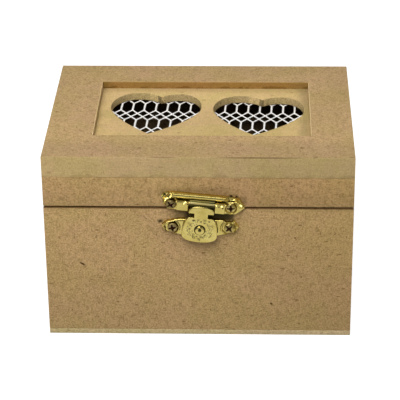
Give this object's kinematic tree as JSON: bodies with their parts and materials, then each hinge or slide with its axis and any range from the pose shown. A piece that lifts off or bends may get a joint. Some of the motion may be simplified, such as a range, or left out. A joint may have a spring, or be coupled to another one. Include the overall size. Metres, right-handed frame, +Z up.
{
  "type": "hinged fibreboard box",
  "caption": "Small unfinished fibreboard box with a thick slab lid on hinges, heart-shaped windows over a white lattice, and a brass hasp latch whose flap swings over a catch plate.",
  "frame": {"origin": "middle of the underside", "axes": "+X to the viewer's right along the front, -Y out of the front with the latch, +Z up"},
  "size_m": [0.11, 0.0874, 0.072],
  "materials": {
    "fibreboard": "raw sawn fibreboard, matte",
    "pale_fibreboard": "raw fibreboard, matte",
    "panel_fibreboard": "smooth fibreboard face, matte",
    "white_lattice": "satin white",
    "brass": "polished, bright plated",
    "screw_metal": "dull brownish plated"
  },
  "bodies": {
    "body": {"bottom_board": "pale_fibreboard", "front_wall": "fibreboard", "back_wall": "fibreboard", "left_wall": "fibreboard", "right_wall": "fibreboard", "latch_catch_plate": "brass", "catch_screw_left": "screw_metal", "catch_screw_right": "screw_metal", "hinge_left_body_leaf": "brass", "hinge_left_pin": "brass", "hinge_left_body_screw_1": "screw_metal", "hinge_left_body_screw_2": "screw_metal", "hinge_right_body_leaf": "brass", "hinge_right_pin": "brass", "hinge_right_body_screw_1": "screw_metal", "hinge_right_body_screw_2": "screw_metal"},
    "lid": {"top_frame": "fibreboard", "heart_panel": "panel_fibreboard", "lattice_screen": "white_lattice", "front_rim": "fibreboard", "back_rim": "fibreboard", "left_rim": "fibreboard", "right_rim": "fibreboard", "latch_upper_plate": "brass", "latch_pin": "brass", "latch_screw_left": "screw_metal", "latch_screw_right": "screw_metal", "hinge_left_lid_leaf": "brass", "hinge_left_lid_screw_1": "screw_metal", "hinge_left_lid_screw_2": "screw_metal", "hinge_right_lid_leaf": "brass", "hinge_right_lid_screw_1": "screw_metal", "hinge_right_lid_screw_2": "screw_metal"},
    "flap": {"latch_flap": "brass", "latch_knob": "brass"}
  },
  "joints": [
    {"name": "lid_hinge", "type": "hinge", "parent": "body", "child": "lid", "pos_m": [0, 0.0418, 0.0523], "axis": [-1, 0, 0], "range_deg": [0, 170]},
    {"name": "flap_hinge", "type": "hinge", "parent": "lid", "child": "flap", "pos_m": [0.0015, -0.0423, 0.0547], "axis": [-0.9954, 0, 0.0958], "range_deg": [0, 125]}
  ]
}
